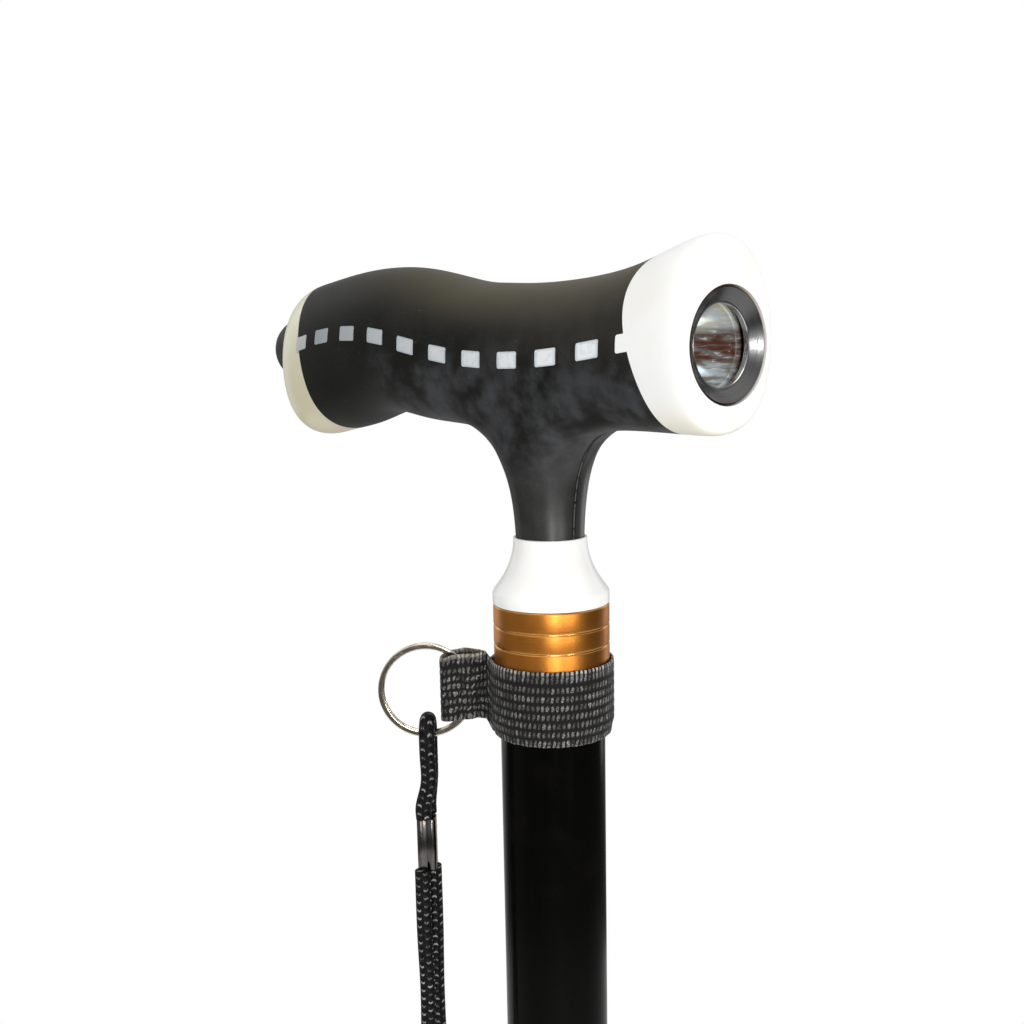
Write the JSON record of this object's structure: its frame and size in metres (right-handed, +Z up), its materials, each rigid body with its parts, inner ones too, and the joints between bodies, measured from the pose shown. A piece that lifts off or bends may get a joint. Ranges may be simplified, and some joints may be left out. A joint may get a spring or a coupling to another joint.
{
  "type": "adjustable walking stick",
  "caption": "Height-adjustable walking stick with a T-shaped rubber grip that holds a torch, a sliding lower tube with a snap button, and a wrist strap on a webbing band.",
  "frame": {"origin": "middle of the rubber foot's sole, at the middle height setting", "axes": "+Z up the stick, +X the way the torch looks"},
  "size_m": [0.1422, 0.061, 0.8708],
  "materials": {
    "white_plastic": "smooth, half gloss",
    "black_rubber": "fine matt grain",
    "grey_metal": "turned and brushed",
    "clear_lens": "clear",
    "bright_cup": "mirror bright",
    "board": "plain",
    "lamp": "clear dome over a yellow lamp",
    "cell": "plain wrapper",
    "black_plastic": "satin",
    "gold_anodised": "bright gold anodised, turned",
    "tube_black": "gloss black",
    "steel": "bright",
    "nickel": "nickel plated",
    "webbing": "ribbed elastic weave",
    "cord": "braided"
  },
  "bodies": {
    "handle": {"handle_core": "white_plastic", "grip_sleeve": "black_rubber", "bezel_seal": "black_rubber", "lens": "clear_lens", "reflector": "bright_cup", "lamp_board": "board", "lamp_led": "lamp", "front_contact": "steel", "rear_contact": "steel", "cell_front": "cell", "cell_rear": "cell", "switch_body": "black_plastic", "switch_spring": "steel", "neck_collar": "white_plastic", "neck_rod": "steel", "gold_ring": "gold_anodised", "spigot_pin": "steel", "upper_tube": "tube_black", "split_bushing": "black_plastic"},
    "bezel": {"bezel_ring": "grey_metal"},
    "torch_button": {"tail_button": "black_rubber", "switch_plunger": "white_plastic"},
    "lower_section": {"lower_tube": "tube_black", "top_plug": "black_plastic", "snap_spring": "steel", "rubber_foot": "black_rubber", "foot_washer": "steel"},
    "snap": {"snap_button": "steel"},
    "lock": {"lock_collar": "black_plastic"},
    "band": {"webbing_band": "webbing"},
    "ring": {"split_ring": "nickel"},
    "strap": {"ring_cord": "cord", "cord_ferrule": "nickel", "wrist_cord": "cord"}
  },
  "joints": [
    {"name": "bezel_turn", "type": "hinge", "parent": "handle", "child": "bezel", "pos_m": [0.0467, 0, 0.8518], "axis": [1, 0, 0], "range_deg": [0, 360]},
    {"name": "torch_button_press", "type": "slide", "parent": "handle", "child": "torch_button", "axis": [1, 0, 0], "range_m": [0, 0.0015], "stiffness_N_per_m": 2000, "deforming": ["switch_spring"]},
    {"name": "height_adjust", "type": "slide", "parent": "handle", "child": "lower_section", "axis": [0, 0, -1], "range_m": [-0.0762, 0.0762]},
    {"name": "snap_button_press", "type": "slide", "parent": "lower_section", "child": "snap", "axis": [-1, 0, 0], "range_m": [0, 0.0032], "stiffness_N_per_m": 4000, "deforming": ["snap_spring"]},
    {"name": "lock_collar_turn", "type": "hinge", "parent": "handle", "child": "lock", "pos_m": [0, 0, 0.32], "axis": [0, 0, 1], "range_deg": [0, 120]},
    {"name": "band_turn", "type": "hinge", "parent": "handle", "child": "band", "pos_m": [0, 0, 0.78814], "axis": [0, 0, 1], "continuous": true},
    {"name": "ring_swing", "type": "hinge", "parent": "band", "child": "ring", "pos_m": [-0.01463, -0.01596, 0.78139], "axis": [0, 0, 1], "range_deg": [-8, 8]},
    {"name": "strap_swing", "type": "hinge", "parent": "ring", "child": "strap", "pos_m": [-0.01784, -0.01946, 0.77189], "axis": [-0.6756, -0.7373, 0], "range_deg": [-75, 75]}
  ]
}
